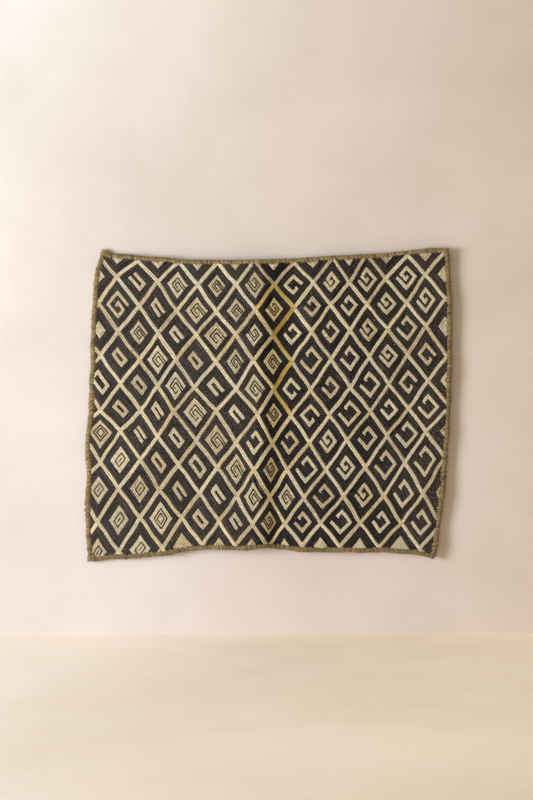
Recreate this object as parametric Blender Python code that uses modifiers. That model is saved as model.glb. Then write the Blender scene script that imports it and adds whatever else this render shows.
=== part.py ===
"""A kuba raffia cloth: one embroidered raffia panel with a rolled hem, as it hangs on a wall.

The wall is the plane y = 0 and the cloth faces -Y. The origin lies on that plane, level with
the middle of the top edge. The tables are in millimetres, and the model is in metres.
"""

from bisect import bisect_right
from itertools import pairwise
from math import ceil, exp, hypot, pi, sin, sqrt
from typing import NamedTuple

import bmesh
import bpy
from mathutils import Vector, noise

MM = 0.001

# The cloth
SHEET_THICKNESS = 2.0
ROW_SPACING = 17.0  # between the lines of the mesh that run across the cloth

# The rolled hem
HEM_WIDTH = 8.5
HEM_THICKNESS = 4.6
HEM_RIM_THICKNESS = 1.8
HEM_LINES = (0.0, 0.17, 0.5, 0.83, 1.0, 1.3)  # lines of the mesh, as shares of the hem's width
HEM_LUMP = 0.12  # share by which the hand-rolled hem swells and thins
HEM_LUMP_LENGTH = 23.0

# Unevenness of the hanging cloth
COCKLE_DEPTH = 1.6
COCKLE_LENGTH = 85.0
PUCKER_DEPTH = 1.3  # ripple that the tight hem draws into the cloth beside it
PUCKER_LENGTH = 74.0
PUCKER_REACH = 24.0

CLOTH_COLOUR = (0.23, 0.18, 0.11, 1.0)
CLOTH_ROUGHNESS = 0.8


class Spot(NamedTuple):
    """A point of the outline: across from the middle, and up from the middle of the top edge."""

    across: float
    up: float


class Fold(NamedTuple):
    """A line from top to bottom where the cloth turns, and how far it stands off the wall there."""

    name: str
    across_top: float
    across_bottom: float
    out_top: float
    out_bottom: float
    softness: float
    strips: int  # strips of the mesh from here to the next fold


# The top edge sags between the corners, and the left hem's squared end stands above it.
TOP_EDGE = (
    Spot(-273, 14.5),
    Spot(-264.5, 14.5),
    Spot(-260, 9.5),
    Spot(-234, 8.5),
    Spot(-208, 4.5),
    Spot(-172, 3),
    Spot(-150, -0.5),
    Spot(-50, -2),
    Spot(28, 0.8),
    Spot(112, 6),
    Spot(176, 9),
    Spot(290, 19),
    Spot(297, 16.5),
)

# The bottom edge is drawn up at the middle fold, and ends in a pointed tab at the right.
BOTTOM_EDGE = (
    Spot(-296, -497),
    Spot(-256, -493),
    Spot(-194, -489),
    Spot(-133, -480),
    Spot(-102, -475.5),
    Spot(-72, -477),
    Spot(-31, -476.5),
    Spot(0, -474),
    Spot(29, -477),
    Spot(71, -481),
    Spot(197, -481.5),
    Spot(238, -485),
    Spot(274, -492),
)

LEFT_EDGE = (
    Spot(-273, 14.5),
    Spot(-284, -21),
    Spot(-290, -103),
    Spot(-294.5, -250),
    Spot(-300.5, -313),
    Spot(-297, -354),
    Spot(-300, -395),
    Spot(-296, -497),
)

RIGHT_EDGE = (
    Spot(297, 16.5),
    Spot(302, -106),
    Spot(300, -231),
    Spot(295, -315),
    Spot(288, -398),
    Spot(274, -492),
)

# The cloth was stored folded in four, so it turns at the middle and, more gently, at the quarters.
FOLDS = (
    Fold("left side", -273, -296, 5, 8, 30, 8),
    Fold("left ridge", -166, -160, 15, 16, 16, 2),
    Fold("left trough", -139, -136, 13, 14, 16, 8),
    Fold("middle ridge", -15, -15, 25, 27, 7, 6),
    Fold("middle trough", 30, 14, 9, 11, 12, 6),
    Fold("right rise", 92, 92, 16, 16, 30, 3),
    Fold("right ridge", 126, 150, 17, 17, 16, 4),
    Fold("right trough", 180, 176, 11, 14, 20, 8),
    Fold("right side", 297, 274, 12, 13, 30, 0),
)


def mix(first, last, share):
    return first + (last - first) * share


def smooth_curve(places, values):
    """A curve through the values that never swings past them between two of its points."""
    slopes = [(b - a) / (q - p) for (p, q), (a, b) in zip(pairwise(places), pairwise(values))]
    turns = [2 * a * b / (a + b) if a * b > 0 else 0.0 for a, b in pairwise(slopes)]
    tangents = [slopes[0], *turns, slopes[-1]]

    def value_at(place):
        i = min(max(bisect_right(places, place) - 1, 0), len(slopes) - 1)
        width = places[i + 1] - places[i]
        t = (place - places[i]) / width
        start = (1 + 2 * t) * (1 - t) ** 2 * values[i] + t * (1 - t) ** 2 * width * tangents[i]
        end = t * t * (3 - 2 * t) * values[i + 1] - t * t * (1 - t) * width * tangents[i + 1]
        return start + end

    return value_at


def height_along(edge):
    """Height of a top or bottom edge, by the distance across."""
    return smooth_curve([spot.across for spot in edge], [spot.up for spot in edge])


def side_along(edge):
    """Distance across of a side edge, by the share of the way down it."""
    top, bottom = edge[0].up, edge[-1].up
    shares = [(top - spot.up) / (top - bottom) for spot in edge]
    return smooth_curve(shares, [spot.across for spot in edge])


def stand_off(across, down):
    """Distance from the wall: flat panels that turn into each other at the folds."""
    places = [mix(fold.across_top, fold.across_bottom, down) for fold in FOLDS]
    depths = [mix(fold.out_top, fold.out_bottom, down) for fold in FOLDS]
    slopes = [(b - a) / (q - p) for (p, q), (a, b) in zip(pairwise(places), pairwise(depths))]
    out = depths[0] + slopes[0] * (across - places[0])
    for fold, place, (before, after) in zip(FOLDS[1:-1], places[1:-1], pairwise(slopes)):
        past = across - place
        out += (after - before) * (past + hypot(past, fold.softness)) / 2
    return out


def edge_distance(across, up, spot_top, spot_bottom, left, right):
    """Distance to the nearest edge."""
    return min(spot_top - up, up - spot_bottom, across - left, right - across)


def unevenness(across, up, to_edge):
    """The cloth's own cockling, and the ripple beside its hem."""
    where = Vector((across / COCKLE_LENGTH, up / COCKLE_LENGTH, 0.5))
    cockle = COCKLE_DEPTH * noise.noise(where)
    along = (across + 0.7 * up) / PUCKER_LENGTH
    pucker = PUCKER_DEPTH * sin(2 * pi * along) * exp(-max(to_edge, 0) / PUCKER_REACH)
    return cockle + pucker


def thickness_at(across, up, to_edge):
    """The sheet's thickness, and the hem's round section within its width."""
    if to_edge >= HEM_WIDTH:
        return SHEET_THICKNESS
    from_middle = 2 * to_edge / HEM_WIDTH - 1
    bulge = sqrt(max(1 - from_middle**2, 0))
    base = HEM_RIM_THICKNESS if from_middle < 0 else SHEET_THICKNESS
    lump = 1 + HEM_LUMP * sin(2 * pi * (across - up) / HEM_LUMP_LENGTH)
    return mix(base, HEM_THICKNESS * lump, bulge)


def column_lines():
    """The mesh lines from top to bottom, as their distance across at the top and at the bottom."""
    hem = [share * HEM_WIDTH for share in HEM_LINES]
    first, last = FOLDS[0], FOLDS[-1]
    lines = [(first.across_top + d, first.across_bottom + d) for d in hem]
    clear = hem[-1]
    for fold, following in pairwise(FOLDS):
        for strip in range(fold.strips):
            share = strip / fold.strips
            top = mix(fold.across_top, following.across_top, share)
            bottom = mix(fold.across_bottom, following.across_bottom, share)
            if top > first.across_top + clear and top < last.across_top - clear:
                lines.append((top, bottom))
    return lines + [(last.across_top - d, last.across_bottom - d) for d in reversed(hem)]


def row_lines(height):
    """The mesh lines from side to side, as shares of the way down."""
    hem = [share * HEM_WIDTH / height for share in HEM_LINES]
    count = ceil((height - 2 * HEM_WIDTH) / ROW_SPACING)
    inner = [mix(hem[-1], 1 - hem[-1], i / count) for i in range(1, count)]
    return hem + inner + [1 - share for share in reversed(hem)]


def cloth_grid():
    """The middle surface of the cloth, and the thickness at each of its points."""
    columns = column_lines()
    rows = row_lines(TOP_EDGE[0].up - BOTTOM_EDGE[0].up)
    top_height, bottom_height = height_along(TOP_EDGE), height_along(BOTTOM_EDGE)
    left_side, right_side = side_along(LEFT_EDGE), side_along(RIGHT_EDGE)
    first_top, first_bottom = columns[0]
    last_top, last_bottom = columns[-1]

    grid = bmesh.new()
    across_count, down_count = len(columns) - 1, len(rows) - 1
    bmesh.ops.create_grid(grid, x_segments=across_count, y_segments=down_count, size=0.5)
    thicknesses = []
    for vertex in grid.verts:
        top, bottom = columns[round((vertex.co.x + 0.5) * across_count)]
        down = rows[round((0.5 - vertex.co.y) * down_count)]
        left, right = left_side(down), right_side(down)
        from_left = (top - first_top) / (last_top - first_top)
        bow_left = (1 - from_left) * (left - mix(first_top, first_bottom, down))
        bow_right = from_left * (right - mix(last_top, last_bottom, down))
        across = mix(top, bottom, down) + bow_left + bow_right
        edge_top, edge_bottom = top_height(top), bottom_height(bottom)
        up = mix(edge_top, edge_bottom, down)
        to_edge = edge_distance(across, up, edge_top, edge_bottom, left, right)
        out = stand_off(across, down) + unevenness(across, up, to_edge)
        vertex.co = Vector((across, -out, up)) * MM
        thicknesses.append(thickness_at(across, up, to_edge))
    return grid, thicknesses


def cloth_material():
    material = bpy.data.materials.new("embroidered raffia")
    material.use_nodes = True
    shader = material.node_tree.nodes["Principled BSDF"]
    shader.inputs["Base Color"].default_value = CLOTH_COLOUR
    shader.inputs["Roughness"].default_value = CLOTH_ROUGHNESS
    shader.inputs["Metallic"].default_value = 0.0
    material.diffuse_color = CLOTH_COLOUR
    return material


def raffia_cloth(collection):
    """The one solid of the cloth, its hem part of the same sheet."""
    grid, thicknesses = cloth_grid()
    mesh = bpy.data.meshes.new("raffia_cloth")
    grid.to_mesh(mesh)
    grid.free()
    mesh.materials.append(cloth_material())
    cloth = bpy.data.objects.new("raffia_cloth", mesh)
    collection.objects.link(cloth)

    most = max(thicknesses)
    group = cloth.vertex_groups.new(name="thickness")
    for index, thickness in enumerate(thicknesses):
        group.add([index], thickness / most, "REPLACE")
    wall = cloth.modifiers.new("thickness", "SOLIDIFY")
    wall.thickness = most * MM
    wall.offset = 0.0
    wall.vertex_group = group.name
    wall.thickness_vertex_group = 0.0
    mesh.shade_smooth()
    return cloth


def main():
    for thing in list(bpy.data.objects):
        bpy.data.objects.remove(thing, do_unlink=True)
    collection = bpy.data.collections.new("kuba raffia cloth")
    bpy.context.scene.collection.children.link(collection)
    raffia_cloth(collection)


main()
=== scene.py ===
"""The looks of a kuba raffia cloth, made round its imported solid.

A plain woven raffia ground hangs in the solid's own folds. Over it lies the embroidery: rows of
slanting raffia stitches that draw a lattice of diamonds, each with dark mitred rows and a motif.
A rolled hem, whipped with raffia, closes the four sides.
"""

from typing import NamedTuple

import bmesh
import bpy
import numpy as np
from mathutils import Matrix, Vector
from mathutils.bvhtree import BVHTree


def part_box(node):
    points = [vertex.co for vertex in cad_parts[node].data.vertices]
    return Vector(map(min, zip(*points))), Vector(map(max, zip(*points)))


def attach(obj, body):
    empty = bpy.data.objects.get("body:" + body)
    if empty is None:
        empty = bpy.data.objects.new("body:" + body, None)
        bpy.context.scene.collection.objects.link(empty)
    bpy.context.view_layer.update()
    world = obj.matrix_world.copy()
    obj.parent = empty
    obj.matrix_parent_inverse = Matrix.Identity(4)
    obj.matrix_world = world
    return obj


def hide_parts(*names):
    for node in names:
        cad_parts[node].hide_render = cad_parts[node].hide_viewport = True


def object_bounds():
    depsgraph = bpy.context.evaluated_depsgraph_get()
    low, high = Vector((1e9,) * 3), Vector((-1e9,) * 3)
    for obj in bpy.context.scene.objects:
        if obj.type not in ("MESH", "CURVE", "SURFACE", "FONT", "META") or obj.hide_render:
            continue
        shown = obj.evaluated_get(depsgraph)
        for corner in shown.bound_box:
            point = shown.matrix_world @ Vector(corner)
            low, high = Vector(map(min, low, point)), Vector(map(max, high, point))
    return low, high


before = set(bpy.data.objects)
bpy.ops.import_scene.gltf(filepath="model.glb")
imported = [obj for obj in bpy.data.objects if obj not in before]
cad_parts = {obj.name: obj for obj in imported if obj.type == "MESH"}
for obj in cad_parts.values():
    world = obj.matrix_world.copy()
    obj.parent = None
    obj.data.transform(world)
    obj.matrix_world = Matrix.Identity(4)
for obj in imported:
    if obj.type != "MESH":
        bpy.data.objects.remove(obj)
cad_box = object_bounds()

MM = 0.001
SEED = 7

# The photograph: 533 x 800 pixels, with the scale that the cloth's size gives them
PHOTO_WIDTH, PHOTO_HEIGHT = 533, 800
PIXEL = 1.64 * MM
ORIGIN_PIXEL = (268, 259)  # where the part's origin lies in it
FLOOR_PIXEL = 634  # the foot of the wall
LENS = 70.0
SENSOR = 36.0

# The layers, as distances in front of the cloth's middle surface
GROUND_FRONT = 0.25 * MM
GROUND_THICKNESS = 1.0 * MM
GROUND_INSET = 2.5 * MM  # by which the ground stops short of the outline
GROUND_SPAN = 0.55  # the width that this share is taken of, since the ground is scaled down
GROUND_QUADS = (120, 104)  # across and down
STITCH_SEAT = 0.45 * MM
MOTIF_SEAT = 1.15 * MM
LINE_SEAT = 1.15 * MM
BACK_SEAT = -0.75 * MM

# The hem
HEM_WIDTH = 8.7 * MM
HEM_STRAND = 0.95 * MM
HEM_HALF_HEIGHT = 1.8 * MM
HEM_PITCH = 2.0 * MM
HEM_LUMP_SCALE = 45.0  # lumps to the metre
HEM_CORE = 0.9  # the roll under the whipping, as a share of its width
HEM_OVERLAP = 1.2 * MM  # by which the embroidery runs in under the hem

# The embroidery's rows
BAND_ROW = 3.0 * MM  # width of one of the two pale rows of a lattice band
BAND_SPREAD = ((-80, 80), (0.48, 0.40))  # the bands are narrower right of the middle
OCHRE_SPREAD = (-0.62, 0, 0.62)  # where the ochre bands' three rows lie, in widths of a row
OVER_TRIM = 0.6 * MM  # by which a band that passes over another stops short of their crossing
UNDER_TRIM = 1.15 * BAND_ROW  # and one that passes under
RING_CLEARANCE = 1.05 * BAND_ROW  # from the lattice's middle line to the first dark row
DARK_ROW = 3.2 * MM
DARK_TRIM = 1.2 * MM  # by which the rows stop short of the corners that they turn
DARK_GROUND_TRIM = 1.6 * MM
MOTIF_ROW = 2.7 * MM
MOTIF_TRIM = 0.7 * MM
STROKE_TRIM = 1.2 * MM
LATTICE_JITTER = 1.1 * MM
ROW_WANDER = 0.35 * MM
SAMPLE_STEP = 3.0 * MM
SMALL_MOTIF = 0.475  # half-size of a motif, as a share of its diamond
LARGE_MOTIF = 0.56
CHART_ROWS = 3.8  # chart rows in a motif's half-size

# Every second column of crossings from top to bottom: how far across it lies at three courses, in
# mm. The others lie halfway between.
COLUMN_COURSES = (1, 6, 11)
COLUMNS = (
    (-342, -342, -346),
    (-280, -275, -281),
    (-214, -208, -210),
    (-148, -153, -138),
    (-83, -86, -78),
    (-23, -19, -27),
    (42, 38, 25),
    (105, 102, 84),
    (162, 168, 148),
    (229, 231, 216),
    (289, 297, 280),
    (352, 357, 343),
)

# The courses of crossings from side to side: how high each lies at the stations, in mm
COURSE_STATIONS = (-300, -210, -120, -30, 60, 150, 240, 300)
COURSES = (
    (48, 32, 30, 29, 32, 40, 42, 47),
    (12, -4, -5, -5, -2, 5, 7, 12),
    (-10, -37, -43, -43, -39, -36, -29, -19),
    (-69, -77, -88, -84, -77, -75, -70, -63),
    (-117, -121, -126, -125, -120, -116, -111, -108),
    (-153, -163, -166, -166, -167, -161, -157, -158),
    (-197, -208, -212, -214, -214, -210, -202, -195),
    (-247, -248, -249, -254, -258, -251, -245, -243),
    (-276, -288, -296, -301, -301, -294, -286, -278),
    (-333, -330, -338, -344, -346, -342, -333, -324),
    (-376, -375, -382, -390, -390, -386, -384, -383),
    (-433, -426, -424, -434, -434, -430, -434, -437),
    (-485, -478, -470, -470, -469, -472, -474, -476),
    (-529, -521, -514, -512, -512, -516, -518, -520),
    (-573, -565, -558, -556, -556, -560, -562, -564),
)
FIRST_COLUMN = -2  # the number of the first half-column and course in the tables
FIRST_COURSE = -1

# The motif of each diamond, course by course. Even courses start at half-column -1, odd ones at 0.
# A capital is a large motif, with fewer dark rows round it.
# o plain, p plain and small, b box, n box open below, u box open above, d two bars, r ring and
# slot, e three rings, s key open to the right, z key open to the left, h hook open to the left,
# c the same with a curled end, g hook open to the right, k the same with a curled end
CHART = (
    "ppppppppppp",
    "puSsZgcCCp",
    "oKnSszhhcCp",
    "psnSzhhcHp",
    "obSbssHhcgp",
    "BbSnSghHgp",
    "obnSnzgHhHp",
    "EdbShhchHp",
    "rrbBSzHcHHp",
    "rrnnSsHcHp",
    "orEbnzhHhHp",
    "rropppppop",
    "oooopoppppp",
)

# The ochre zigzag: the lattice crossings that it joins, as half-column and course
OCHRE_PATH = ((9, 1), (10, 2), (9, 3), (10, 4), (9, 5), (10, 6))
TAN_EDGE = ((9, 1), (8, 2))  # worked in a paler gold
GOLDEN, OLIVE = 0.5, 0.1  # the ochre's tone down to the right and down to the left; the golden one is partly the ochre's colour, partly painted sheen


class Motif(NamedTuple):
    """A motif in rows from its diamond's middle, the first number down to the right and the
    second up to the right. Its pale rows lie on dark ones, or its dark lines on a pale ground."""

    pale: tuple = ()
    lines: tuple = ()
    filled: bool = False
    share: float = 1.0
    stroke: float = 1.1 * MM  # from the middle of a pale stroke to each of its two rows


def square(half, other=None):
    """A closed path round the middle."""
    i, j = half, half if other is None else other
    return ((-i, -j), (-i, j), (i, j), (i, -j), (-i, -j))


def turned(path):
    """The path turned half round."""
    return tuple((-i, -j) for i, j in path)


BROAD = 1.3 * MM
TALL_BOX = ((-4.1, -1.9), (3.4, -1.9), (3.4, 1.9), (-3.8, 1.9))
OPEN_BOX = ((3.8, 1.65), (-3.1, 1.65), (-3.1, -1.65), (3.1, -1.65))
KEY_OUTER = ((3.9, 2.1), (-2.0, 2.1), (-2.0, -2.0), (2.1, -2.0), (2.1, -0.3))
KEY_INNER = ((3.9, 1.0), (-0.8, 1.0), (-0.8, -0.9), (0.9, -0.9))
HOOK = ((-2.1, 0.3), (-3.0, 0.3), (-2.8, 2.8), (3.2, 3.2), (2.8, -2.8), (-3.3, -3.2))
CURL = ((0.2, 0.8), (0.2, -0.6), (-3.0, -0.6), (-2.9, 2.9), (3.2, 3.2), (2.8, -2.8), (-3.2, -3.1))
SLOT = ((0, -0.9), (0, 0.9))

MOTIFS = {
    "o": Motif(filled=True),
    "p": Motif(filled=True, share=0.75),
    "b": Motif(pale=(square(3.2, 1.7),), stroke=BROAD),
    "n": Motif(pale=(OPEN_BOX,), stroke=BROAD),
    "u": Motif(pale=(TALL_BOX,), stroke=BROAD),
    "d": Motif(pale=(((-3.2, 1.35), (3.2, 1.35)), ((-3.2, -1.35), (3.2, -1.35)))),
    "r": Motif(lines=(square(1.6, 2.2), SLOT), filled=True, share=0.98),
    "e": Motif(lines=(square(2.2), square(1.2), square(0.3)), filled=True),
    "s": Motif(lines=(KEY_OUTER, KEY_INNER), filled=True),
    "z": Motif(lines=(turned(KEY_OUTER), turned(KEY_INNER)), filled=True),
    "h": Motif(pale=(HOOK,)),
    "c": Motif(pale=(CURL,)),
    "g": Motif(pale=(turned(HOOK),)),
    "k": Motif(pale=(turned(CURL),)),
}

rng = np.random.default_rng(SEED)


def linear(red, green, blue):
    """A colour given as it shows on screen, 0 to 255, for a shader."""
    shown = np.array((red, green, blue)) / 255
    light = np.where(shown > 0.04045, ((shown + 0.055) / 1.055) ** 2.4, shown / 12.92)
    return (*light, 1.0)


def unit(vectors):
    """The vectors, each brought to a length of one."""
    return vectors / np.linalg.norm(vectors, axis=-1, keepdims=True)


def aside(ways):
    """The directions a quarter turn to the left of these."""
    return np.stack([-ways[..., 1], ways[..., 0]], axis=-1)


def along(path):
    """How far along a path each of its points lies."""
    return np.concatenate([[0], np.cumsum(np.linalg.norm(np.diff(path, axis=0), axis=1))])


def spots(path, at):
    """The spots that lie so far along a path."""
    return np.stack([np.interp(at, along(path), path[:, k]) for k in (0, 1)], axis=1)


# The hanging surface


def rim_corners(points):
    """The numbers of the four corners of a closed outline: top left, top right, then down."""
    across, up = points.T
    return [int(np.argmax(a * across + b * up)) for a, b in ((-1, 1), (1, 1), (1, -1), (-1, -1))]


FRONT_FACING = -0.6  # how far a face of the front leans to -Y, at least
RIM_FACING = 0.45  # and how little one of the rim does
WELD = 0.01 * MM
QUARTER_WAY = 0.1  # how far across the outline has come, a quarter of the way round from its start


def outline_of(node):
    """The solid's outline, seen from the front, as its top, right, bottom and left edges."""
    form = bmesh.new()
    form.from_mesh(node.data)
    bmesh.ops.remove_doubles(form, verts=form.verts, dist=WELD)
    form.normal_update()
    links = {}
    for edge in form.edges:
        depths = sorted(face.normal.y for face in edge.link_faces)
        if len(depths) == 2 and depths[0] < FRONT_FACING and abs(depths[1]) < RIM_FACING:
            a, b = edge.verts
            links.setdefault(a, []).append(b)
            links.setdefault(b, []).append(a)
    start = min(links, key=lambda vertex: (vertex.co.x - vertex.co.z, vertex.co.x))
    loop, before = [start], None
    while True:
        onward = [v for v in links[loop[-1]] if v is not before]
        before = loop[-1]
        if onward[0] is start or (len(loop) > 2 and start in onward):
            break
        loop.append(onward[0])
    points = np.array([(v.co.x, v.co.z) for v in loop])
    form.free()
    if points[len(points) // 4][0] < points[0][0] + QUARTER_WAY:
        points = np.roll(points[::-1], 1, axis=0)
    corners = rim_corners(points)
    ends = [*corners[1:], corners[0] + len(points)]
    closed = np.vstack([points, points])
    return [closed[a : b + 1] for a, b in zip(corners, ends)]


class Drape:
    """The middle surface of the hanging cloth, read from the solid on an even grid."""

    STEP = 4.0 * MM
    RIDGE = -15.0 * MM  # the middle fold's ridge
    RIDGE_SHIFT = 5.0 * MM  # how far the weight of the embroidery pulls it over
    RIDGE_REACH = 22.0 * MM
    STUB_FOOT = 10.5 * MM  # the left hem's end stands up beyond this height of the top edge
    STUB_REACH = -225.0 * MM
    STUB_END = (2.4 * MM, 2.4 * MM)  # across and up, from the sheet's corner to the stub's
    TIP_END = (-0.6 * MM, 1.6 * MM)  # and so at the top right

    def __init__(self, node):
        self.top, self.right, self.bottom, self.left = outline_of(node)
        self.raise_ends()
        low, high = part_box(node.name)
        margin = 3 * self.STEP
        self.across = np.arange(low[0] - margin, high[0] + margin, self.STEP)
        self.up = np.arange(low[2] - margin, high[2] + margin, self.STEP)
        depth = self.smoothed(self.spread(self.measured(node)))
        shift = self.RIDGE_SHIFT * np.exp(-(((self.across - self.RIDGE) / self.RIDGE_REACH) ** 2))
        lines = [np.interp(self.across - shift, self.across, line) for line in depth.T]
        self.depth = np.stack(lines, axis=1)
        self.slope_across, self.slope_up = np.gradient(self.depth, self.STEP)

    def raise_ends(self):
        """Lets the upper ends of the two side hems stand above the top edge."""
        beside_stub = self.top[1:][self.top[1:, 0] < self.STUB_REACH]
        beside_stub[:, 1] = np.minimum(beside_stub[:, 1], self.STUB_FOOT)
        self.top[1 : len(beside_stub) + 1] = beside_stub
        self.left = np.vstack([self.left, self.left[-1] + self.STUB_END])
        self.right = np.vstack([self.right[0] + self.TIP_END, self.right])

    def measured(self, node):
        """The grid of the solid's middle, empty where the grid runs past it."""
        tree = BVHTree.FromObject(node, bpy.context.evaluated_depsgraph_get())
        depth = np.full((len(self.across), len(self.up)), np.nan)
        for i, x in enumerate(self.across):
            for k, z in enumerate(self.up):
                front = tree.ray_cast(Vector((x, -1, z)), Vector((0, 1, 0)))[0]
                back = tree.ray_cast(Vector((x, 1, z)), Vector((0, -1, 0)))[0]
                if front is not None and back is not None:
                    depth[i, k] = (front.y + back.y) / 2
        return depth

    @staticmethod
    def spread(depth):
        """Carries the values at the edges out over the empty places beyond them."""
        while np.isnan(depth).any():
            padded = np.pad(depth, 1, constant_values=np.nan)
            beside = [padded[:-2, 1:-1], padded[2:, 1:-1], padded[1:-1, :-2], padded[1:-1, 2:]]
            around = np.stack(beside)
            known = ~np.isnan(around)
            sums = np.where(known, around, 0).sum(0)
            mean = np.divide(sums, known.sum(0), out=np.full_like(sums, np.nan), where=known.any(0))
            depth = np.where(np.isnan(depth), mean, depth)
        return depth

    @staticmethod
    def smoothed(depth):
        """The grid with every value evened out with its neighbours' across and up."""
        for _ in (0, 1):
            padded = np.pad(depth, ((1, 1), (0, 0)), mode="edge")
            depth = (padded[:-2] / 4 + padded[1:-1] / 2 + padded[2:] / 4).T
        return depth

    def read(self, grid, places):
        """The grid's values at places given as (across, up), between its points."""
        a = np.clip((places[:, 0] - self.across[0]) / self.STEP, 0, len(self.across) - 1.001)
        b = np.clip((places[:, 1] - self.up[0]) / self.STEP, 0, len(self.up) - 1.001)
        i, k = a.astype(int), b.astype(int)
        s, t = a - i, b - k
        low = grid[i, k] * (1 - s) + grid[i + 1, k] * s
        high = grid[i, k + 1] * (1 - s) + grid[i + 1, k + 1] * s
        return low * (1 - t) + high * t

    def facing(self, places):
        """The direction that the front faces."""
        slopes = self.read(self.slope_across, places), self.read(self.slope_up, places)
        return unit(np.stack([slopes[0], -np.ones(len(places)), slopes[1]], axis=1))

    def lay(self, places, seat):
        """The places on the cloth, at a distance in front of its middle surface."""
        flat = np.stack([places[:, 0], self.read(self.depth, places), places[:, 1]], axis=1)
        return flat + self.facing(places) * seat

    def inset(self, places):
        """How far inside the outline each place lies."""
        x, z = places[:, 0], places[:, 1]
        top = np.interp(x, self.top[:, 0], self.top[:, 1])
        bottom = np.interp(x, self.bottom[::-1, 0], self.bottom[::-1, 1])
        left = np.interp(z, self.left[:, 1], self.left[:, 0])
        right = np.interp(z, self.right[::-1, 1], self.right[::-1, 0])
        return np.min([top - z, z - bottom, x - left, right - x], axis=0)


drape = Drape(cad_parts["raffia_cloth"])


# The lattice


def lattice_crossings():
    """Where each crossing of the lattice lies, set out by hand and so a little off true."""
    crossings = {}
    for row, course in enumerate(COURSES, FIRST_COURSE):
        lines = [np.interp(row, COLUMN_COURSES, column) for column in COLUMNS]
        for number in range(2 * len(COLUMNS) - 1):
            x = np.interp(number / 2, range(len(lines)), lines)
            z = np.interp(x, COURSE_STATIONS, course)
            place = np.array((x, z)) * MM + rng.normal(0, LATTICE_JITTER, 2)
            crossings[number + FIRST_COLUMN, row] = place
    return crossings


crossings = lattice_crossings()


WAVE_COUNT = (7, 2)
WAVE_RANGE = (0.06, 0.16)  # in radians to the mm
DRIFT_WAVES = rng.uniform(*WAVE_RANGE, WAVE_COUNT) * rng.choice((-1, 1), WAVE_COUNT) / MM
DRIFT_TURNS = rng.uniform(0, 2 * np.pi, WAVE_COUNT)
DRIFT = 0.2 * MM


def drifted(points):
    """The points moved a little, slowly from place to place, as lines laid by eye wander."""
    phase = points @ DRIFT_WAVES.T
    return points + DRIFT * np.sin(phase[:, :, None] + DRIFT_TURNS).sum(axis=1)


class Row(NamedTuple):
    """A row of stitches: its points as (across, up), how far its colour leans to the thread's
    second tone, and how light it is, from 0 to 1."""

    points: np.ndarray
    tone: float
    light: float = 0.5


SHORTEST_ROW = 0.5 * MM


def sampled(points, trim, wander=ROW_WANDER):
    """The path with even points, its ends trimmed, wandering a little as handwork does."""
    points = np.asarray(points)
    length = along(points)[-1]
    usable = length - trim - trim
    if usable < SHORTEST_ROW:
        return None
    at = np.linspace(trim, length - trim, int(np.ceil(usable / SAMPLE_STEP)) + 1)
    swing = rng.normal(0, wander) * np.sin(np.pi * at / length)
    return spots(points, at) + swing[:, None] * aside(unit(points[-1] - points[0]))


def kept_runs(points, keep):
    """The stretches of a path whose points are all kept."""
    edges = np.flatnonzero(np.diff(np.concatenate([[0], keep.astype(int), [0]])))
    return [points[a:b] for a, b in zip(edges[::2], edges[1::2]) if b - a > 1]


def add_row(rows, points, tone, light, **shaping):
    """Adds the stretches of the row that lie inside the hem."""
    path = sampled(points, **shaping)
    if path is None:
        return
    path = drifted(path)
    inside = drape.inset(path) > HEM_WIDTH - HEM_OVERLAP
    for run in kept_runs(path, inside):
        rows.append(Row(run, tone, light))


# Gold along the middle fold: yellowed raffia, and painted light that lifts the fold's shade
GOLD_AND_LIGHT_LINE = 8 * MM  # how far across it lies
GOLD_AND_LIGHT_REACH = 20 * MM
GOLD_AND_LIGHT_HEIGHTS = (-450, -260, -190, -70, -20)
GOLD_AND_LIGHT_SHARES = (0.3, 0.35, 0.55, 0.6, 0.1)


def fold_gold_and_painted_light(place):
    """Raffia along the middle fold leans to a light gold, most of all in its upper half: partly
    yellowed raffia, partly painted light over the fold's shade.
    """
    share = np.interp(place[1] / MM, GOLD_AND_LIGHT_HEIGHTS, GOLD_AND_LIGHT_SHARES)
    return share * np.exp(-(((place[0] - GOLD_AND_LIGHT_LINE) / GOLD_AND_LIGHT_REACH) ** 2))


# Painted sheen and shade on the dark raffia: how far it leans to a lighter brown where it faces the
# window, as how many mm across, then the share at the top and at the bottom. It is least just past
# the middle fold, where painted shade falls.
DARK_SHEEN = (
    (-300, 0.42, 0.48),
    (-100, 0.42, 0.42),
    (-60, 0.5, 0.45),
    (-24, 0.55, 0.4),
    (-14, 0.5, 0.15),
    (-4, 0.0, 0.0),
    (20, 0.0, 0.0),
    (40, 0.22, 0.0),
    (110, 0.18, 0.02),
    (200, 0.25, 0.25),
    (300, 0.6, 0.7),
)
DARK_SHEEN_HEIGHTS = (-450, -50)  # the heights, in mm, of its bottom and top
SHEEN_ROW_SPREAD = 0.12


def dark_sheen(points):
    """The painted sheen of a dark row, with a difference from row to row."""
    across, up = np.mean(points, axis=0) / MM
    stations, high, low = zip(*DARK_SHEEN)
    amounts = np.interp(across, stations, low), np.interp(across, stations, high)
    amount = np.interp(up, DARK_SHEEN_HEIGHTS, amounts)
    return np.clip(amount + rng.normal(0, SHEEN_ROW_SPREAD), 0, 1)


BAND_TONES = (0, 0.25)
MOTIF_TONES = (0, 0.18)


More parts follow.
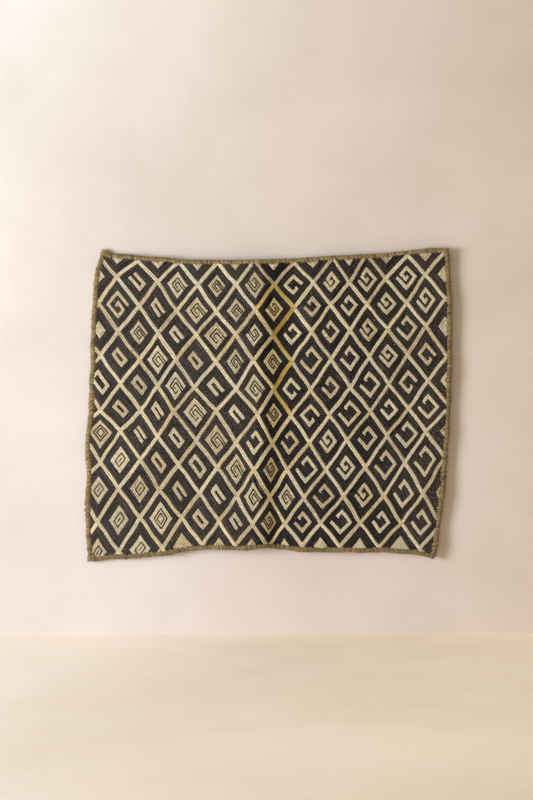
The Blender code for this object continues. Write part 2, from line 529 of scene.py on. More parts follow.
def lattice_bands():
    """The two pale rows of each lattice band, and the ochre ones of the zigzag."""
    pale, ochre = [], []
    ochre_edges = set(zip(OCHRE_PATH, OCHRE_PATH[1:]))
    for (half, course), start in crossings.items():
        if (half + course) % 2:
            continue
        for step in (1, -1):
            onward = (half + step, course + 1)
            if onward not in crossings:
                continue
            end = crossings[onward]
            edge = ((half, course), onward)
            is_ochre = edge in ochre_edges
            trim = OVER_TRIM if step == 1 or is_ochre else UNDER_TRIM
            tone = rng.uniform(*BAND_TONES) + fold_gold_and_painted_light((start + end) / 2)
            if is_ochre:
                tone = GOLDEN if step == 1 else OLIVE
            apart = np.interp(start[0] / MM, *BAND_SPREAD)
            rows, sides = (ochre, OCHRE_SPREAD) if is_ochre else (pale, (-apart, apart))
            if edge == TAN_EDGE:
                rows, tone = ochre, 1.0
            light = rng.uniform()
            for side in sides:
                shift = aside(unit(end - start)) * side * BAND_ROW
                add_row(rows, [start + shift, end + shift], tone, light, trim=trim)
    return pale, ochre


# The diamonds


class Diamond:
    """One diamond of the lattice, with its own skew coordinates from -1 to 1."""

    def __init__(self, half, course):
        self.left, self.right = crossings[half - 1, course], crossings[half + 1, course]
        self.top, self.bottom = crossings[half, course - 1], crossings[half, course + 1]
        self.middle = (self.left + self.right + self.top + self.bottom) / 4
        side_a, side_b = self.right - self.top, self.right - self.bottom
        area = abs(side_a[0] * side_b[1] - side_a[1] * side_b[0])
        self.half_height = area / (np.linalg.norm(side_a) + np.linalg.norm(side_b))

    def place(self, skew):
        """Skew pairs, down to the right and up to the right, as places on the cloth."""
        i, j = np.asarray(skew, float).T[:, :, None]
        return (
            (1 - i) * (1 - j) * self.left
            + (1 - i) * (1 + j) * self.top
            + (1 + i) * (1 + j) * self.right
            + (1 + i) * (1 - j) * self.bottom
        ) / 4

    def ring(self, share):
        """The four sides of a smaller diamond inside it."""
        corners = [(-share, -share), (-share, share), (share, share), (share, -share)]
        places = self.place(corners)
        return [places[[k, (k + 1) % 4]] for k in range(4)]


def path_offset(path, offset):
    """A right-angled path moved aside by an offset, its corners kept square."""
    path = np.asarray(path, float)
    closed = np.allclose(path[0], path[-1])
    asides = aside(unit(np.diff(path, axis=0)))
    before = np.vstack([asides[-1] if closed else asides[0], asides])
    after = np.vstack([asides, asides[0] if closed else asides[-1]])
    straight = np.abs((before * after).sum(1)) > 0.5
    moves = np.where(straight[:, None], before, before + after)
    return path + offset * moves


MOTIF_SIZES = (0.96, 1.04)
LINE_LIGHT = 0.4


class Embroidery:
    """The rows of every diamond, by the thread that they are worked in."""

    def __init__(self):
        self.dark, self.pale, self.strokes, self.lines = [], [], [], []
        for course, letters in enumerate(CHART):
            for number, letter in enumerate(letters):
                half = 2 * number - (1 if course % 2 == 0 else 0)
                motif = MOTIFS[letter.lower()]
                share = motif.share * (LARGE_MOTIF if letter.isupper() else SMALL_MOTIF)
                self.work(Diamond(half, course), motif, share * rng.uniform(*MOTIF_SIZES))

    def work(self, diamond, motif, size):
        """Fills one diamond; the size is its motif's share of it."""
        self.dark_rings(diamond, size)
        unit = size / CHART_ROWS
        tone, light = fold_gold_and_painted_light(diamond.middle) + rng.uniform(*MOTIF_TONES), rng.uniform()
        if motif.filled:
            self.pale_ground(diamond, size, tone, light)
        else:
            self.dark_ground(diamond, size)
        stroke = motif.stroke / (unit * diamond.half_height)
        for path in motif.pale:
            for offset in (-stroke, stroke):
                self.follow(self.strokes, diamond, path_offset(path, offset), unit, tone, light)
        for path in motif.lines:
            self.follow(self.lines, diamond, path, unit, 0.0, LINE_LIGHT)

    def dark_rings(self, diamond, size):
        """The dark rows between the lattice and the motif, mitred at the corners."""
        outer = 1 - RING_CLEARANCE / diamond.half_height
        count = max(round((outer - size) * diamond.half_height / DARK_ROW), 1)
        for number in range(count):
            share = outer - (number + 0.5) / count * (outer - size)
            for side in diamond.ring(share):
                add_row(self.dark, side, dark_sheen(side), rng.uniform(), trim=DARK_TRIM)

    def pale_ground(self, diamond, size, tone, light):
        """Pale rows, one inside the other, that fill the motif's diamond."""
        count = round(size * diamond.half_height / MOTIF_ROW)
        for number in range(count):
            share = size * (1 - (number + 0.5) / count)
            for side in diamond.ring(share):
                add_row(self.pale, side, tone, light, trim=MOTIF_TRIM)

    def dark_ground(self, diamond, size):
        """Dark rows, side by side, that fill the motif's diamond under its pale strokes."""
        count = round(2 * size * diamond.half_height / DARK_ROW)
        for number in range(count):
            level = size * (2 * (number + 0.5) / count - 1)
            row = diamond.place([(-size, level), (size, level)])
            add_row(self.dark, row, dark_sheen(row), rng.uniform(), trim=DARK_GROUND_TRIM)

    def follow(self, rows, diamond, path, unit, tone, light):
        """A row along each straight stretch of a chart's path."""
        places = diamond.place(np.asarray(path) * unit)
        for pair in zip(places, places[1:]):
            add_row(rows, pair, tone, light, trim=STROKE_TRIM, wander=0)


band_rows, ochre_rows = lattice_bands()
work = Embroidery()


# Raffia


class NodeTree:
    """A tree of nodes under construction."""

    def __init__(self, tree):
        self.tree = tree

    @staticmethod
    def socket(node, name):
        """An input by its number, as in i0, or by its name with underscores for spaces."""
        if name[0] == "i" and name[1:].isdigit():
            return node.inputs[int(name[1:])]
        wanted = name.replace("_", " ")
        return next(s for s in node.inputs if s.name == wanted and s.enabled)

    def feed(self, node, **inputs):
        """Links or sets a node's inputs, and leaves those given as None. A node that is given
        stands for its first output in use."""
        for name, value in inputs.items():
            if isinstance(value, bpy.types.Node):
                value = next(s for s in value.outputs if s.enabled)
            if isinstance(value, bpy.types.NodeSocket):
                self.tree.links.new(value, self.socket(node, name))
            elif value is not None:
                self.socket(node, name).default_value = value
        return node

    def add(self, kind, settings=None, **inputs):
        """A node with its settings and its inputs."""
        node = self.tree.nodes.new(kind)
        for name, value in (settings or {}).items():
            setattr(node, name, value)
        return self.feed(node, **inputs)

    def math(self, operation, first, second=None):
        """The result of a sum on one or two values."""
        return self.add("ShaderNodeMath", {"operation": operation}, i0=first, i1=second)


class MaterialTree(NodeTree):
    """A material under construction, laid out by places on the piece."""

    def __init__(self, name):
        self.material = bpy.data.materials.new(name)
        self.material.use_nodes = True
        super().__init__(self.material.node_tree)
        self.shader = self.tree.nodes["Principled BSDF"]
        self.place = self.add("ShaderNodeTexCoord").outputs["Object"]

    def attribute(self, name, output="Fac"):
        """A value that the mesh carries."""
        return self.add("ShaderNodeAttribute", {"attribute_name": name}).outputs[output]

    def share(self, value, low, high):
        """How far a value has come from the low one to the high one."""
        return self.add("ShaderNodeMapRange", i0=value, i1=low, i2=high)

    def noise(self, pattern, place=None, spread=None):
        """A noise pattern, as its scale, detail and roughness; the spread sets strands apart."""
        scale, detail, roughness = pattern
        settings = {"noise_dimensions": "3D" if spread is None else "4D"}
        place = self.place if place is None else place
        node = self.add("ShaderNodeTexNoise", settings, i0=place, i1=spread)
        return self.feed(node, i2=scale, i3=detail, i4=roughness)

    def ramp(self, factor, stops):
        """A colour ramp: stops is a list of (position, colour)."""
        node = self.add("ShaderNodeValToRGB", i0=factor)
        elements = node.color_ramp.elements
        while len(elements) < len(stops):
            elements.new(0.5)
        for element, (position, colour) in zip(elements, stops):
            element.position = position
            element.color = colour
        return node

    def blend(self, factor, first, second, kind="MIX"):
        """Two colours mixed, or multiplied."""
        settings = {"data_type": "RGBA", "blend_type": kind}
        return self.add("ShaderNodeMix", settings, i0=factor, i6=first, i7=second)

    def tinted(self, colour, factor, stops):
        """The colour multiplied by a ramp."""
        return self.blend(1.0, colour, self.ramp(factor, stops), "MULTIPLY")

    def relief(self, height, strength, distance):
        """A pattern's height, for the shader to show."""
        return self.add("ShaderNodeBump", Strength=strength, Distance=distance, Height=height)

    def finish(self, **inputs):
        """The material, once its shader has these inputs."""
        self.feed(self.shader, **inputs)
        return self.material


def grey(size):
    """A grey that makes a colour multiplied by it that much lighter or darker."""
    return (size, size, size, 1)


# Noise patterns: lumps to the metre, detail and roughness
FIBRES = (1.6, 3.0, 0.6)  # this one's scale is by the strand
FLECKS = (480.0, 2.0, 0.5)
HEM_PATCHES = (28.0, 3.0, 0.5)
GROUND_STREAKS = (420.0, 3.0, 0.5)
GROUND_PATCHES = (9.0, 4.0, 0.5)
CLOUDS = (2.6, 6.0, 0.6)

ROW_SHARE = 0.6  # how much of a stitch's lightness comes from its row
FIBRE_STRETCH = (0.7, 4.5, 1.0)  # fibres run along the strand
STRAND_SPREAD = 80.0  # how far apart two strands lie in the pattern, so that none are alike
FIBRE_STREAKS = [(0.3, grey(0.55)), (0.7, grey(1.15))]
FIBRE_RELIEF = 0.5
FIBRE_DEPTH = 0.12 * MM
RAFFIA_GLOSS = 0.28

# How light the flecks of worn raffia are, from the least worn
DARK_FLECKS = [(0.34, grey(0.3)), (0.5, grey(1.0)), (0.68, grey(3.2))]
PALE_FLECKS = [(0.34, grey(0.78)), (0.5, grey(1.0)), (0.68, grey(1.16))]


def raffia(name, tones, lean, flecks, roughness=0.5, row_share=ROW_SHARE, patches=None):
    """Split raffia leaf: each stitch has its own tone, which leans to a second colour, with fine
    fibres along it and flecks where it has worn. Patches tint it from place to place."""
    build = MaterialTree(name)
    shade = build.attribute("shade")
    light = build.attribute("light")
    mixed = build.add("ShaderNodeMix", {"data_type": "FLOAT"}, i0=row_share, i2=shade, i3=light)
    colour = build.ramp(mixed, tones)
    colour = build.blend(build.attribute("tone"), colour, lean)

    place, times = build.attribute("strand_place", "Vector"), {"operation": "MULTIPLY"}
    stretched = build.add("ShaderNodeVectorMath", times, i0=place, i1=FIBRE_STRETCH)
    spread = build.math("MULTIPLY", shade, STRAND_SPREAD)
    fibres = build.noise(FIBRES, stretched, spread)
    colour = build.tinted(colour, fibres, FIBRE_STREAKS)
    colour = build.tinted(colour, build.noise(FLECKS), flecks)
    if patches:
        colour = build.tinted(colour, build.noise(HEM_PATCHES), patches)
    return build.finish(
        Base_Color=colour,
        Normal=build.relief(fibres, FIBRE_RELIEF, FIBRE_DEPTH),
        Roughness=roughness,
        Specular_IOR_Level=RAFFIA_GLOSS,
    )


PALE_TONES = [
    (0.0, linear(168, 146, 108)),
    (0.25, linear(194, 176, 142)),
    (0.5, linear(207, 193, 160)),
    (0.75, linear(214, 203, 172)),
    (1.0, linear(232, 216, 196)),
]
DARK_TONES = [
    (0.0, linear(13, 10, 9)),
    (0.4, linear(21, 17, 15)),
    (0.7, linear(28, 22, 19)),
    (0.9, linear(42, 34, 30)),
    (1.0, linear(72, 59, 52)),
]
OCHRE_TONES = [
    (0.0, linear(152, 126, 54)),
    (0.5, linear(176, 148, 70)),
    (1.0, linear(196, 164, 82)),
]
HEM_TONES = [
    (0.0, linear(116, 98, 62)),
    (0.3, linear(156, 134, 90)),
    (0.6, linear(178, 153, 110)),
    (0.85, linear(158, 149, 101)),
    (1.0, linear(196, 165, 126)),
]
# The old hem has redder and greener stretches.
HEM_TINTS = [(0.35, (1.03, 0.93, 0.88, 1)), (0.5, grey(1)), (0.65, (0.93, 0.98, 0.88, 1))]

GROUND_TONES = [(0.3, linear(126, 106, 74)), (0.7, linear(164, 143, 104))]
GROUND_TINTS = [(0.35, (0.78, 0.76, 0.7, 1)), (0.65, grey(1))]
GROUND_ROUGHNESS = 0.8
STRIP_PITCH = 1.6 * MM  # from one woven strip that lies on top to the next
WEAVE_RELIEF = 0.8
WEAVE_DEPTH = 0.3 * MM


def ground_weave():
    """Plain woven raffia: strips over and under, each a little different."""
    build = MaterialTree("woven raffia ground")
    parts = build.add("ShaderNodeSeparateXYZ", i0=build.place)
    strips = []
    for axis in (0, 2):
        turns = build.math("MULTIPLY", parts.outputs[axis], 2 * np.pi / STRIP_PITCH)
        strips.append(build.math("SINE", turns))
    colour = build.ramp(build.noise(GROUND_STREAKS), GROUND_TONES)
    return build.finish(
        Base_Color=build.tinted(colour, build.noise(GROUND_PATCHES), GROUND_TINTS),
        Normal=build.relief(build.math("MULTIPLY", *strips), WEAVE_RELIEF, WEAVE_DEPTH),
        Roughness=GROUND_ROUGHNESS,
    )


# Geometry Nodes

STITCH_SWAY = 0.6  # how far the slant varies either way, in radians, at an unevenness of one
HEM_SWAY = 1.5  # the same for the hem's strands
SHADE_SEED = 9.0  # added to a tree's seed, for the shade of each strand
STITCH_FULLNESS = 0.96  # how much a stitch's middle is drawn out; its ends stay where they are


class GeometryTree(NodeTree):
    """A Geometry Nodes tree under construction, with named inputs."""

    def __init__(self, name):
        super().__init__(bpy.data.node_groups.new(name, "GeometryNodeTree"))
        for way in ("INPUT", "OUTPUT"):
            self.tree.interface.new_socket("Geometry", in_out=way, socket_type="NodeSocketGeometry")
        self.given = self.tree.nodes.new("NodeGroupInput")

    def take(self, name, default=None):
        """A named input: a size or a whole number, or a material if it has no default."""
        kind = {float: "Float", int: "Int"}.get(type(default), "Material")
        socket_type = "NodeSocket" + kind
        made = self.tree.interface.new_socket(name, in_out="INPUT", socket_type=socket_type)
        if default is not None:
            made.default_value = default
        return self.given.outputs[name]

    def random(self, low, high, seed):
        """A number of its own for each strand."""
        settings = {"data_type": "FLOAT"}
        return self.add("FunctionNodeRandomValue", settings, Min=low, Max=high, Seed=seed)

    def swaying(self, slant, share, most, seed):
        """A slant that varies from strand to strand."""
        loose = self.math("MULTIPLY", share, self.random(-most, most, seed))
        return self.math("ADD", slant, loose)

    def uneven(self, share, seed, number):
        """A difference from strand to strand, by up to a share either way."""
        other = self.math("ADD", seed, number)
        return self.math("MULTIPLY", share, self.random(-1.0, 1.0, other))

    def store(self, geometry, name, value, kind="FLOAT_VECTOR", domain="POINT"):
        """Keeps a value on the geometry."""
        settings = {"data_type": kind, "domain": domain}
        node = self.add("GeometryNodeStoreNamedAttribute", settings, Geometry=geometry)
        return self.feed(node, Name=name, Value=value)

    def on_rows(self, slant):
        """The turn that lays a strand's X along its row and its Z out of the cloth, then slants
        it."""
        kind = {"data_type": "FLOAT_VECTOR"}
        facing = self.add("GeometryNodeInputNamedAttribute", kind, Name="facing")
        align = "FunctionNodeAlignRotationToVector"
        upright = self.add(align, {"axis": "Z"}, Vector=facing)
        onward = self.add("GeometryNodeInputTangent")
        pivot = {"axis": "X", "pivot_axis": "Z"}
        aligned = self.add(align, pivot, Rotation=upright, Vector=onward)
        turn = self.add("ShaderNodeCombineXYZ", Z=slant)
        lean = self.add("FunctionNodeEulerToRotation", Euler=turn)
        local = {"rotation_space": "LOCAL"}
        return self.add("FunctionNodeRotateRotation", local, Rotation=aligned, Rotate_By=lean)

    def strands(self, strand, step, slant, sizes, seed, material):
        """Ends the tree: a strand at every step of the rows, each with a shade of its own."""
        rows = self.add("GeometryNodeMeshToCurve", Mesh=self.given.outputs["Geometry"])
        mode = {"mode": "LENGTH"}
        points = self.add("GeometryNodeResampleCurve", mode, Curve=rows, Length=step)
        scale = self.add("ShaderNodeCombineXYZ", X=sizes[0], Y=sizes[1], Z=sizes[2])
        placed = self.add("GeometryNodeInstanceOnPoints", Points=points, Instance=strand)
        self.feed(placed, Rotation=self.on_rows(slant), Scale=scale)
        shade = self.random(0.0, 1.0, self.math("ADD", seed, SHADE_SEED))
        shaded = self.store(placed, "shade", shade, "FLOAT", "INSTANCE")
        solid = self.add("GeometryNodeRealizeInstances", Geometry=shaded)
        smooth = self.add("GeometryNodeSetShadeSmooth", Geometry=solid)
        worked = self.add("GeometryNodeSetMaterial", Geometry=smooth, Material=material)
        self.add("NodeGroupOutput", i0=worked)
        return self.tree


def grain_shape(build):
    """One stitch, lying along X: a flat strand whose ends dip into the cloth."""
    ball = build.add("GeometryNodeMeshUVSphere", Segments=4, Rings=3, Radius=1.0)
    lying = build.add("GeometryNodeTransform", Geometry=ball, Rotation=(0, np.pi / 2, 0))
    where = build.add("GeometryNodeInputPosition")
    parts = build.add("ShaderNodeSeparateXYZ", i0=where)
    thinner = build.math("MULTIPLY", build.math("ABSOLUTE", parts.outputs[0]), STITCH_FULLNESS)
    fuller = build.math("SUBTRACT", 1 + STITCH_FULLNESS, thinner)
    drawn = build.math("MULTIPLY", parts.outputs[0], fuller)
    moved = build.add("ShaderNodeCombineXYZ", X=drawn, Y=parts.outputs[1], Z=parts.outputs[2])
    shaped = build.add("GeometryNodeSetPosition", Geometry=lying, Position=moved)
    return build.store(shaped, "strand_place", where)


def stitch_tree():
    """Slanting raffia stitches, one after another along each row."""
    build = GeometryTree("Raffia stitches")
    step = build.take("Stitch step", 3.0 * MM)
    length = build.math("MULTIPLY", build.take("Stitch length", 7.0 * MM), 0.5)
    width = build.math("MULTIPLY", build.take("Stitch width", 3.0 * MM), 0.5)
    height = build.take("Stitch height", 0.6 * MM)
    slant = build.take("Slant", 0.3)
    unevenness = build.take("Unevenness", 0.15)
    seed = build.take("Seed", 1)
    material = build.take("Thread")

    sizes = []
    for number, size in enumerate((length, width, height), 1):
        wider = build.math("ADD", build.uneven(unevenness, seed, number), 1.0)
        sizes.append(build.math("MULTIPLY", size, wider))
    leaning = build.swaying(slant, unevenness, STITCH_SWAY, seed)
    return build.strands(grain_shape(build), step, leaning, sizes, seed, material)


def new_mesh(name, points, edges=(), faces=(), material=None):
    """A mesh of these points."""
    mesh = bpy.data.meshes.new(name)
    mesh.from_pydata(points, edges, faces)
    if material:
        mesh.materials.append(material)
    return mesh


def new_object(name, data):
    """An object of the scene."""
    made = bpy.data.objects.new(name, data)
    bpy.context.scene.collection.objects.link(made)
    return made


def as_plain(thing):
    """Gives an object the mesh that its modifiers make, in their place."""
    graph = bpy.context.evaluated_depsgraph_get()
    result = bpy.data.meshes.new_from_object(thing.evaluated_get(graph))
    rough = thing.data
    thing.modifiers.clear()
    thing.data = result
    bpy.data.meshes.remove(rough)
    result.name = thing.name
    return thing


def paths_mesh(name, rows, seat, turned_back=False):
    """The rows as chains of edges on the cloth, each point with the way it faces."""
    counts = [len(row.points) for row in rows]
    places = np.concatenate([row.points for row in rows])
    starts = np.concatenate([[0], np.cumsum(counts)])
    edges = [(k, k + 1) for a, b in zip(starts, starts[1:]) for k in range(a, b - 1)]
    mesh = new_mesh(name, drape.lay(places, seat).tolist(), edges)
    facing = mesh.attributes.new("facing", "FLOAT_VECTOR", "POINT")
    outward = drape.facing(places) * (-1 if turned_back else 1)
    facing.data.foreach_set("vector", outward.ravel().astype(np.float32))
    for kind in ("tone", "light"):
        values = np.repeat([getattr(row, kind) for row in rows], counts).astype(np.float32)
        mesh.attributes.new(kind, "FLOAT", "POINT").data.foreach_set("value", values)
    return mesh


def grown(name, mesh, tree, values):
    """The plain piece that a Geometry Nodes tree makes of a mesh."""
    rough = new_object(name, mesh)
    modifier = rough.modifiers.new(name, "NODES")
    modifier.node_group = tree
    for item in tree.interface.items_tree:
        if item.item_type == "SOCKET" and item.in_out == "INPUT" and item.name in values:
            modifier[item.identifier] = values[item.name]
    return as_plain(rough)


# How each kind of row is stitched
THREAD_SIZES = ("Stitch step", "Stitch length", "Stitch width", "Stitch height", "Slant")
BAND_THREAD = (2.7 * MM, 7.0 * MM, 4.2 * MM, 0.75 * MM, 0.26)
DARK_THREAD = (2.8 * MM, 7.0 * MM, 4.5 * MM, 0.7 * MM, 0.26)
MOTIF_THREAD = (2.5 * MM, 5.6 * MM, 3.5 * MM, 0.75 * MM, 0.2)
BACK_THREAD = (7.0 * MM, 4.6 * MM, 2.3 * MM, 0.4 * MM, 0.45)
LINE_THREAD = (1.7 * MM, 4.2 * MM, 2.1 * MM, 0.75 * MM, 0.06)

stitches = stitch_tree()
dyed = {
    # the pale raffia's light gold lean also paints light into the middle fold's shade
    "pale_raffia": raffia("pale raffia", PALE_TONES, linear(252, 224, 160), PALE_FLECKS),
    # the dark raffia's lean colour is its painted sheen
    "dark_raffia": raffia("dark raffia", DARK_TONES, linear(66, 54, 46), DARK_FLECKS),
    "ochre_raffia": raffia("ochre raffia", OCHRE_TONES, linear(216, 186, 118), PALE_FLECKS),
}


def embroidered(name, rows, slot, sizes, seat, seed):
    """One piece of embroidery. A seat below zero puts it on the cloth's back."""
    values = {**dict(zip(THREAD_SIZES, sizes)), "Seed": seed, "Thread": dyed[slot]}
    piece = grown(name, paths_mesh(name, rows, seat, seat < 0), stitches, values)
    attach(piece, "root")
    return piece


middle = drape.across.mean()
dark_left = [row for row in work.dark if row.points[:, 0].mean() < middle]
dark_right = [row for row in work.dark if row.points[:, 0].mean() >= middle]
pale_rows = work.pale + work.strokes + band_rows
EMBROIDERY = (
    ("dark_rows_left", dark_left, "dark_raffia", DARK_THREAD, STITCH_SEAT, 11),
    ("dark_rows_right", dark_right, "dark_raffia", DARK_THREAD, STITCH_SEAT, 12),
    ("lattice_bands", band_rows, "pale_raffia", BAND_THREAD, STITCH_SEAT, 13),
    ("ochre_zigzag", ochre_rows, "ochre_raffia", BAND_THREAD, STITCH_SEAT, 14),
    ("motif_grounds", work.pale, "pale_raffia", MOTIF_THREAD, STITCH_SEAT, 15),
    ("motif_strokes", work.strokes, "pale_raffia", MOTIF_THREAD, MOTIF_SEAT, 19),
    ("motif_lines", work.lines, "dark_raffia", LINE_THREAD, LINE_SEAT, 16),
    ("dark_backs", work.dark, "dark_raffia", BACK_THREAD, BACK_SEAT, 17),
    ("pale_backs", pale_rows, "pale_raffia", BACK_THREAD, BACK_SEAT, 18),
)
embroidery = [embroidered(*piece) for piece in EMBROIDERY]


# The ground


def ground_cloth():
    """The woven sheet under the embroidery, from hem to hem."""
    s, t = (np.linspace(0, 1, count + 1) for count in GROUND_QUADS)
    shape = len(s), len(t)
    edges = (drape.top, s), (drape.bottom[::-1], s), (drape.left[::-1], t), (drape.right, t)
    top, bottom, left, right = (spots(edge, shares * along(edge)[-1]) for edge, shares in edges)
    s, t = s[:, None, None], t[None, :, None]
    sides = (1 - t) * top[:, None] + t * bottom[:, None] + (1 - s) * left[None] + s * right[None]
    corners = (1 - s) * ((1 - t) * top[0] + t * bottom[0]) + s * ((1 - t) * top[-1] + t * bottom[-1])
    places = (sides - corners).reshape(-1, 2)
    centre = places.mean(0)
    places = centre + (places - centre) * (1 - 2 * GROUND_INSET / GROUND_SPAN)
    points = drape.lay(places, GROUND_FRONT)
    index = np.arange(len(points)).reshape(shape)
    quads = np.stack([index[:-1, :-1], index[:-1, 1:], index[1:, 1:], index[1:, :-1]], axis=-1)
    faces = quads.reshape(-1, 4).tolist()
    mesh = new_mesh("woven_ground", points.tolist(), faces=faces, material=ground_weave())
    sheet = new_object("woven_ground", mesh)
    wall = sheet.modifiers.new("thickness", "SOLIDIFY")
    wall.thickness = GROUND_THICKNESS
    wall.offset = -1.0
    as_plain(sheet).data.shade_smooth()
    return sheet


ground = ground_cloth()
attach(ground, "root")
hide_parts("raffia_cloth")


# The hem


class HemSide(NamedTuple):
    """A side of the hem: its edge, how much of it is left off at each end, half the width of its
    roll, how far the roll's outer side stands beyond the edge, and how far its colour leans to a
    darker brown."""

    edge: np.ndarray
    start: float
    end: float
    half_width: float
    beyond: float
    brown: float


HEM_SIDES = {
    "hem_left": HemSide(drape.left, 1.0 * MM, 0.0 * MM, 4.2 * MM, 1.6 * MM, 0.05),
    "hem_right": HemSide(drape.right, 0.0 * MM, 3.5 * MM, 4.0 * MM, 1.5 * MM, 0.25),
    "hem_top": HemSide(drape.top, 9.0 * MM, 5.0 * MM, 3.0 * MM, 0.0 * MM, 0.0),
    "hem_bottom": HemSide(drape.bottom, 2.5 * MM, 6.0 * MM, 3.7 * MM, 0.9 * MM, 0.25),
}
FIRST_HEM_SEED = 31
SMOOTHINGS = 4
TUBE_END = 0.6  # a tube's last ring, as a share of its width


def hem_path(side):
    """The middle line of one side's roll, seen from the front."""
    length = along(side.edge)[-1]
    steps = int((length - side.start - side.end) / SAMPLE_STEP)
    line = spots(side.edge, np.linspace(side.start, length - side.end, steps))
    outward = aside(unit(np.gradient(line, axis=0)))
    line = line - outward * (side.half_width + HEM_STRAND - side.beyond)
    for _ in range(SMOOTHINGS):
        line[1:-1] = (line[:-2] + line[2:]) / 4 + line[1:-1] / 2
    return drifted(line)


def tube(path, sideways, out, half_width, half_height, sides=8):
    """The points and faces of a closed oval tube along a path, its two ends rounded off."""
    angles = (np.arange(sides) * 2 * np.pi / sides)[:, None]
    from_end = np.minimum(np.arange(len(path)), np.arange(len(path))[::-1])
    size = np.minimum(from_end / 2 + TUBE_END, 1)[:, None, None]
    across = np.cos(angles) * half_width * sideways[:, None]
    points = path[:, None] + size * (across + np.sin(angles) * half_height * out[:, None])
    index = np.arange(len(path) * sides).reshape(-1, sides)
    beside = np.roll(index, -1, axis=1)
    quads = np.stack([index[:-1], beside[:-1], beside[1:], index[1:]], axis=-1)
    caps = [index[0, ::-1].tolist(), index[-1].tolist()]
    return points.reshape(-1, 3), quads.reshape(-1, 4).tolist() + caps


def hem_roll():
    """The rolled edge inside the whipping."""
    points, faces = np.empty((0, 3)), []
    for side in HEM_SIDES.values():
        line = hem_path(side)
        path, out = drape.lay(line, 0.0), drape.facing(line)
        sideways = unit(np.cross(out, np.gradient(path, axis=0)))
        rings, quads = tube(path, sideways, out, HEM_CORE * side.half_width, HEM_HALF_HEIGHT)
        faces += [[len(points) + k for k in face] for face in quads]
        points = np.concatenate([points, rings])
    mesh = new_mesh("hem_roll", points.tolist(), faces=faces, material=hem_raffia)
    mesh.shade_smooth()
    return new_object("hem_roll", mesh)


def hem_tree():
    """Strands of raffia wound over the rolled hem."""
    build = GeometryTree("Hem whipping")
    pitch = build.take("Pitch", 2.0 * MM)
    half_width = build.take("Half width", 3.3 * MM)
    half_height = build.take("Half height", 1.5 * MM)
    strand = build.take("Strand", 0.9 * MM)
    lean = build.take("Lean", 0.3)
    unevenness = build.take("Unevenness", 0.2)
    lumps = build.take("Lumps", 1.2)
    seed = build.take("Seed", 3)
    material = build.take("Thread")

    circle = build.add("GeometryNodeCurvePrimitiveCircle", Resolution=10, Radius=1.0)
    oval_size = build.add("ShaderNodeCombineXYZ", X=half_height, Y=half_width, Z=1.0)
    turned_up = (0, np.pi / 2, 0)
    oval = build.add("GeometryNodeTransform", Geometry=circle, Rotation=turned_up, Scale=oval_size)
    section = build.add("GeometryNodeCurvePrimitiveCircle", Resolution=4, Radius=strand)
    ring = build.add("GeometryNodeCurveToMesh", Curve=oval, Profile_Curve=section)
    where = build.add("GeometryNodeInputPosition")
    winding = build.store(ring, "strand_place", where)

    lump = build.add("ShaderNodeTexNoise", Scale=HEM_LUMP_SCALE, Detail=1.0)
    swell = build.math("MULTIPLY", lumps, build.math("SUBTRACT", lump, 0.5))
    swollen = build.math("ADD", 1.0, swell)
    sizes = [1.0]
    for number in (1.0, 2.0):
        sizes.append(build.math("ADD", swollen, build.uneven(unevenness, seed, number)))
    leaning = build.swaying(lean, unevenness, HEM_SWAY, seed)
    return build.strands(winding, pitch, leaning, sizes, seed, material)


def hem_whipping(name, side, seed):
    """The strands wound over one side."""
    values = {
        "Pitch": HEM_PITCH,
        "Half width": side.half_width,
        "Half height": HEM_HALF_HEIGHT,
        "Strand": HEM_STRAND,
        "Seed": seed,
        "Thread": hem_raffia,
    }
    mesh = paths_mesh(name, [Row(hem_path(side), side.brown)], 0.0)
    return grown(name, mesh, whipping, values)


HEM_BROWN = linear(122, 95, 70)
hem_raffia = raffia("hem raffia", HEM_TONES, HEM_BROWN, PALE_FLECKS, 0.65, 0.0, HEM_TINTS)
whipping = hem_tree()
hem_pieces = []
for hem_seed, (hem_name, hem_side) in enumerate(HEM_SIDES.items(), FIRST_HEM_SEED):
    hem_pieces.append(hem_whipping(hem_name, hem_side, hem_seed))
for hem_piece in (*hem_pieces, hem_roll()):
    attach(hem_piece, "root")


# The room

WALL_SPAN = 0.45  # how far to each side the plaster's colour goes on changing
PAINTED_LIGHT_SPAN = (-0.9, 0.8)  # the painted light's span, as up less across, at the low right and at the top left
WALL_STOPS = [
    (0.0, (0.715, 0.645, 0.605, 1)),
    (0.5, (0.73, 0.635, 0.575, 1)),
    (1.0, (0.70, 0.595, 0.515, 1)),
]
# Painted light on the wall, lighter at the low right and at the top left
WALL_PAINTED_LIGHT = [
    (0.0, (1.10, 1.10, 1.14, 1)),
    (0.2, grey(1)),
    (0.7, grey(1)),
    (0.85, (1.08, 1.10, 1.10, 1)),
    (1.0, (1.12, 1.18, 1.20, 1)),
]
FLOOR_STOPS = [
    (0.0, (0.95, 0.88, 0.80, 1)),
    (0.5, (0.87, 0.76, 0.64, 1)),
    (1.0, (0.84, 0.73, 0.59, 1)),
]
CLOUD_STOPS = [(0.35, (0.91, 0.905, 0.87, 1)), (0.65, (1.04, 1.04, 1.05, 1))]
PLASTER_ROUGHNESS = 0.9
FLOOR_GLOW = 0.19  # light that a large room would bounce onto the floor
ROOM_SIDE = 4  # how far the room runs to each side, in m
ROOM_FRONT = -6
WALL_TOP = 2.5


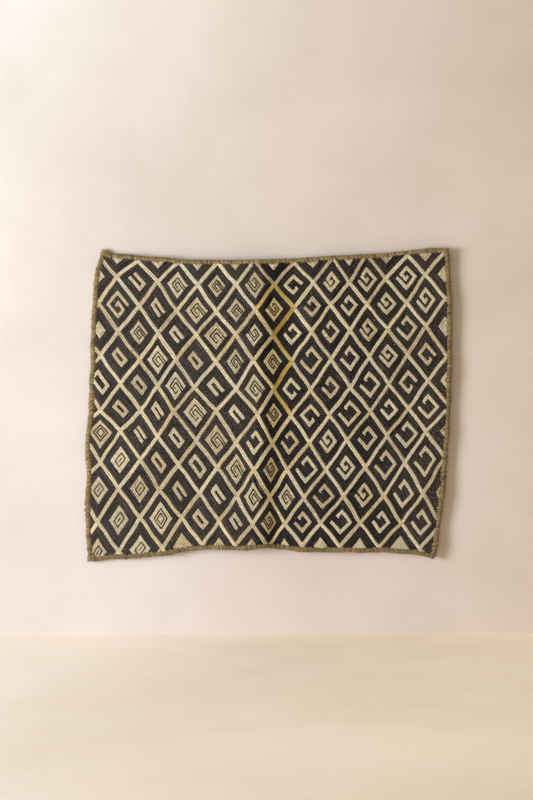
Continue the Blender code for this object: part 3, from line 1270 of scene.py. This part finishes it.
def plaster(name, stops, corners=None, glow=0.0):
    """Limewashed plaster, clear from behind; the stops give its colour from left to right, and the
    corners, where given, painted light that makes it lighter at the low right and at the top left."""
    build = MaterialTree(name)
    parts = build.add("ShaderNodeSeparateXYZ", i0=build.place)
    across, up = parts.outputs[0], parts.outputs[2]
    colour = build.ramp(build.share(across, -WALL_SPAN, WALL_SPAN), stops)
    if corners:
        # painted light, from the low right to the top left
        slope = build.math("SUBTRACT", up, across)
        colour = build.tinted(colour, build.share(slope, *PAINTED_LIGHT_SPAN), corners)
    colour = build.tinted(colour, build.noise(CLOUDS), CLOUD_STOPS)
    clear = build.add("ShaderNodeBsdfTransparent")
    back = build.add("ShaderNodeNewGeometry").outputs["Backfacing"]
    mix = build.add("ShaderNodeMixShader", i0=back, i1=build.shader, i2=clear)
    build.feed(build.tree.nodes["Material Output"], i0=mix)
    return build.finish(
        Base_Color=colour,
        Emission_Color=colour,
        Emission_Strength=glow,
        Roughness=PLASTER_ROUGHNESS,
    )


def stage_plane(name, corners, material):
    """A wall or a floor. It throws no shadow, so that the lamps can stand behind it."""
    plane = new_object(name, new_mesh(name, corners, faces=[(0, 1, 2, 3)], material=material))
    plane.visible_shadow = False


foot = (ORIGIN_PIXEL[1] - FLOOR_PIXEL) * PIXEL
foot_left, foot_right = (-ROOM_SIDE, 0, foot), (ROOM_SIDE, 0, foot)
stage_plane(
    "wall",
    [foot_left, foot_right, (ROOM_SIDE, 0, WALL_TOP), (-ROOM_SIDE, 0, WALL_TOP)],
    plaster("wall plaster", WALL_STOPS, WALL_PAINTED_LIGHT),
)
stage_plane(
    "floor",
    [foot_left, (-ROOM_SIDE, ROOM_FRONT, foot), (ROOM_SIDE, ROOM_FRONT, foot), foot_right],
    plaster("floor plaster", FLOOR_STOPS, glow=FLOOR_GLOW),
)


# Round lamps that face the cloth's middle: name, place, power and colour
LAMPS = (
    ("window", (-3.0, -2.0, -0.15), 147, (0.84, 0.9, 1.0)),
    ("back", (1.2, 2.2, 0.5), 15, (1.0, 0.96, 0.92)),
)
LAMP_SIZE = 1.5
MIDDLE_PIXEL = 404  # the height of the cloth's middle
cloth_middle = Vector((0, 0, (ORIGIN_PIXEL[1] - MIDDLE_PIXEL) * PIXEL))
for lamp_name, lamp_place, power, lamp_colour in LAMPS:
    light = bpy.data.lights.new(lamp_name, "AREA")
    light.shape = "DISK"
    light.size = LAMP_SIZE
    light.energy = power
    light.color = lamp_colour
    lamp = new_object(lamp_name, light)
    lamp.location = lamp_place
    way = cloth_middle - Vector(lamp_place)
    lamp.rotation_euler = way.to_track_quat("-Z", "Y").to_euler()

WORLD_LIGHT = ((1.0, 0.89, 0.66, 1), 0.38)  # colour and strength
world = bpy.data.worlds.new("room light")
world.use_nodes = True
for socket, value in zip(world.node_tree.nodes["Background"].inputs, WORLD_LIGHT):
    socket.default_value = value
bpy.context.scene.world = world

camera_data = bpy.data.cameras.new("camera")
camera_data.lens = LENS
camera_data.sensor_width = SENSOR
camera = new_object("camera", camera_data)
distance = PHOTO_HEIGHT * PIXEL * LENS / SENSOR
camera.location = (
    (PHOTO_WIDTH / 2 - ORIGIN_PIXEL[0]) * PIXEL,
    (cad_box[0].y + cad_box[1].y) / 2 - distance,
    (ORIGIN_PIXEL[1] - PHOTO_HEIGHT / 2) * PIXEL,
)
camera.rotation_euler = (np.pi / 2, 0, 0)
bpy.context.scene.camera = camera
bpy.context.scene.view_settings.view_transform = "Standard"
